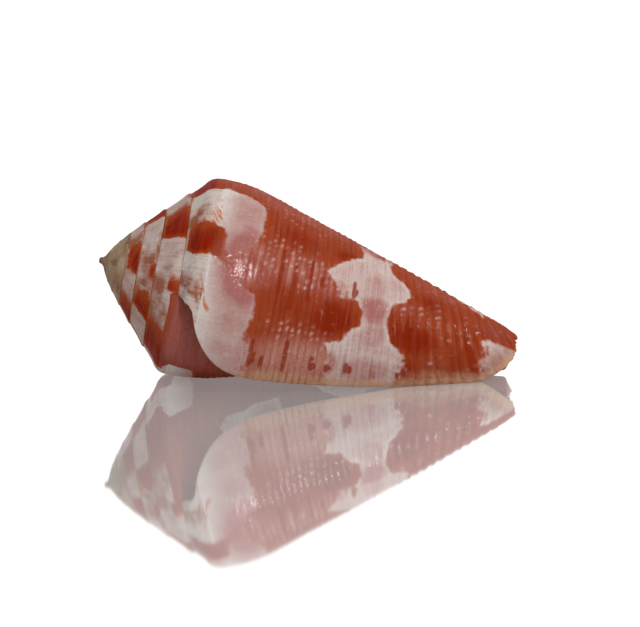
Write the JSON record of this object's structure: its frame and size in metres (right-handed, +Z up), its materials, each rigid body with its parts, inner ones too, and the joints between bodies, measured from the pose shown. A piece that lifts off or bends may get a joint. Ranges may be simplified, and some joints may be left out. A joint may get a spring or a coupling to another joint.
{
  "type": "cone shell",
  "caption": "Small cone-shaped seashell with a low stepped spire, straight tapering side, thin outer lip and long narrow aperture, lying mouth down.",
  "frame": {"origin": "on the surface that the shell lies on, under the middle of its box", "axes": "+Z up, +X towards the narrow front end, apex towards -X, outer lip towards -Y"},
  "size_m": [0.0246, 0.0126, 0.0118],
  "materials": {
    "shell": "glossy natural shell, rust red with white and pink blotches"
  },
  "bodies": {
    "root": {"shell": "shell"}
  },
  "joints": []
}
